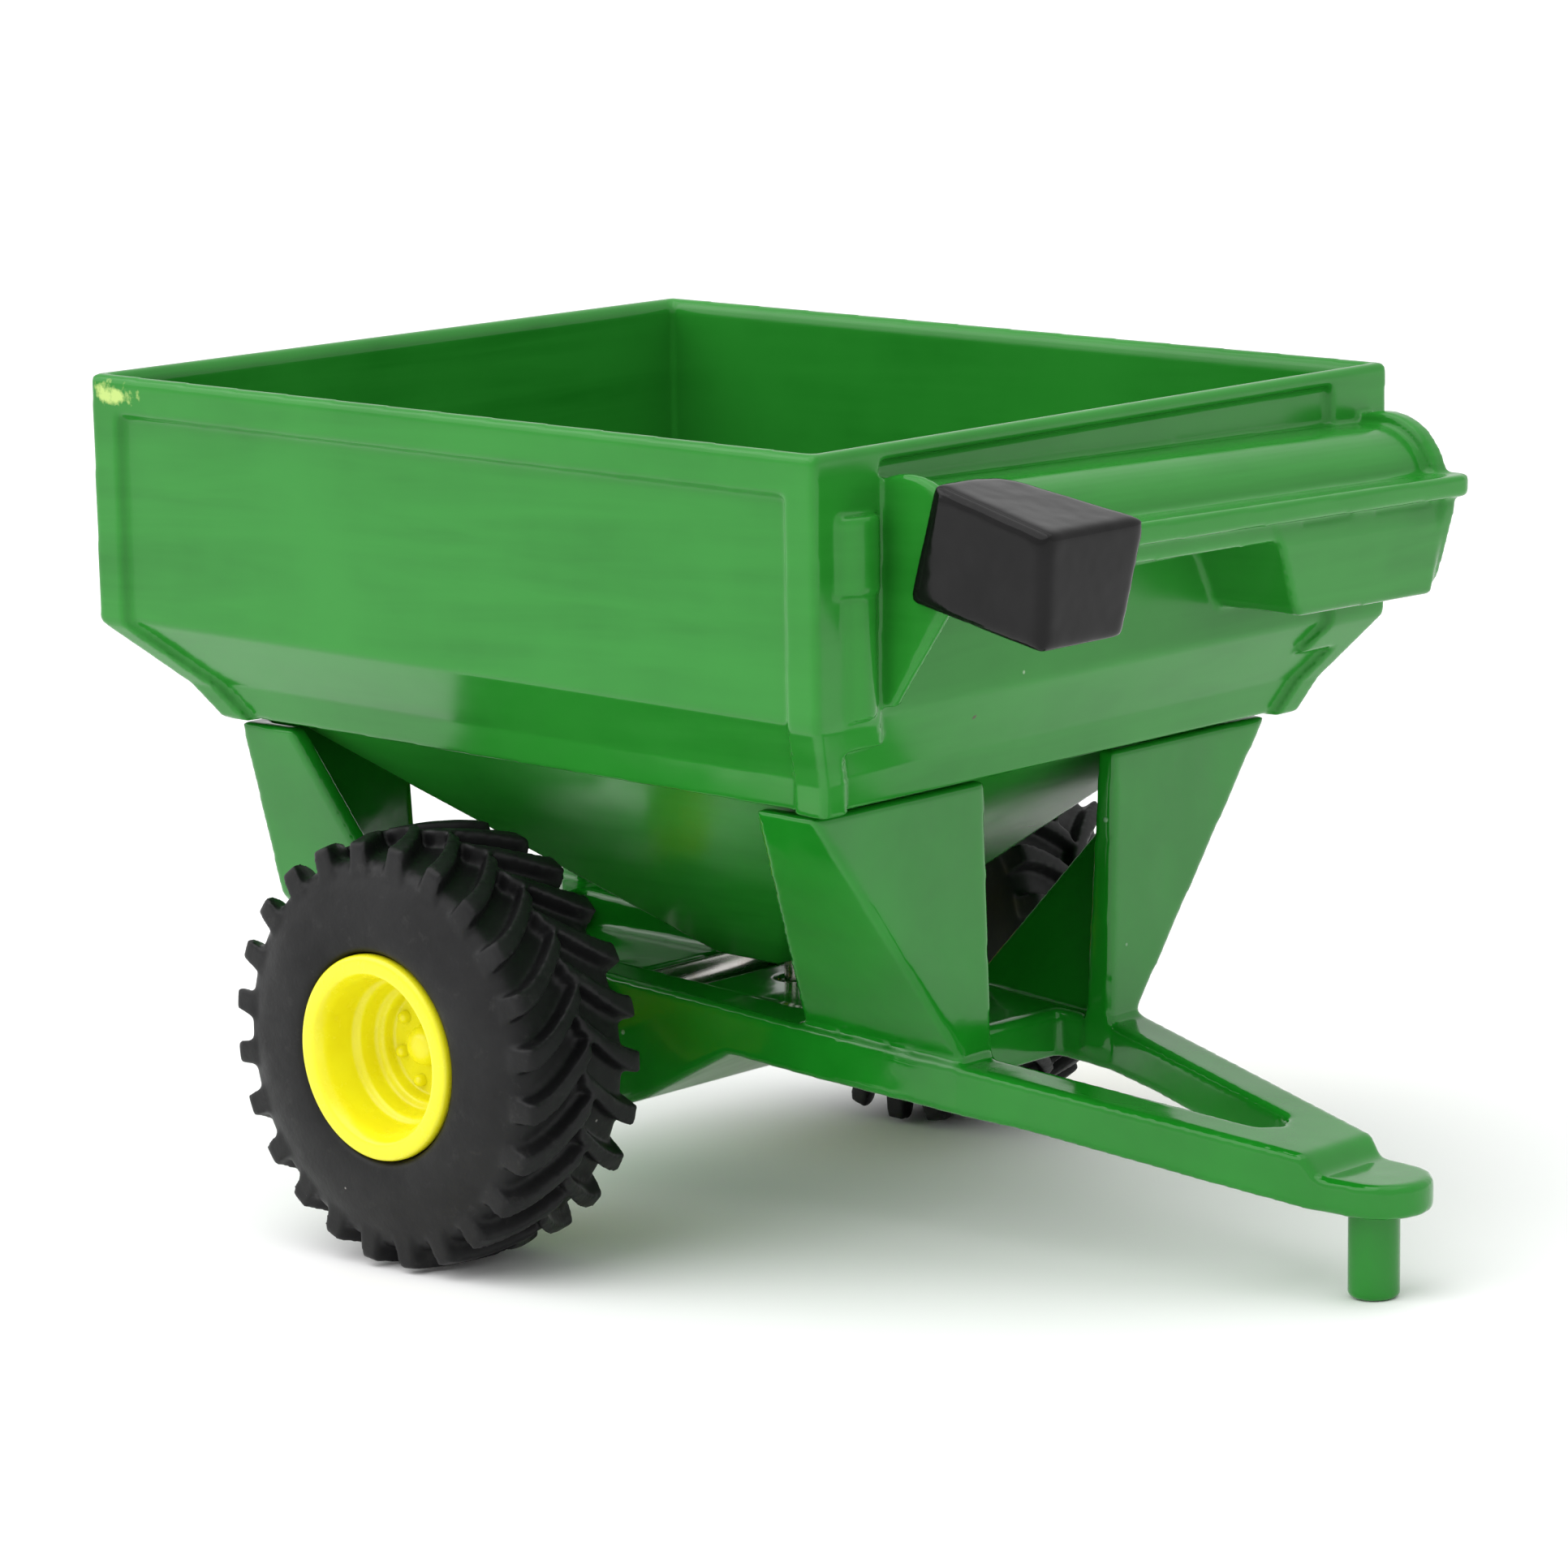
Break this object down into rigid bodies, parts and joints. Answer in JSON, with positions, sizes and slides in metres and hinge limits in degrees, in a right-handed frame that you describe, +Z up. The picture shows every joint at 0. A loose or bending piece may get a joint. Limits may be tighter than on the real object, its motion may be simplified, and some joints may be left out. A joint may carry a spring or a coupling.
{
  "type": "toy grain cart",
  "caption": "Small toy grain cart: open hopper with inward slopes and a funnel, fixed auger housing with a black spout, cast frame with posts and hitch pin, two lugged wheels on one axle.",
  "frame": {"origin": "on the ground under the middle of the cart's length, on its middle line", "axes": "+X forward to the hitch, +Y to the cart's left, +Z up; the cart stands on its two tyres and the tip of its hitch pin, so its own level lines fall about 2.6 degrees to the front"},
  "size_m": [0.0925, 0.064, 0.0603],
  "materials": {
    "green_plastic": "glossy moulded",
    "black_rubbery": "satin",
    "green_paint": "gloss over a casting",
    "steel": "polished",
    "yellow_plastic": "glossy moulded",
    "tyre_rubber": "matt"
  },
  "bodies": {
    "cart": {"hopper": "green_plastic", "spout": "black_rubbery", "frame": "green_paint", "frame_screw": "steel"},
    "wheelset": {"axle": "steel", "rim_right": "yellow_plastic", "rim_left": "yellow_plastic", "tyre_right": "tyre_rubber", "tyre_left": "tyre_rubber"}
  },
  "joints": [
    {"name": "wheel_roll", "type": "hinge", "parent": "cart", "child": "wheelset", "pos_m": [-0.01763, 0, 0.015], "axis": [0, 1, 0], "continuous": true}
  ]
}
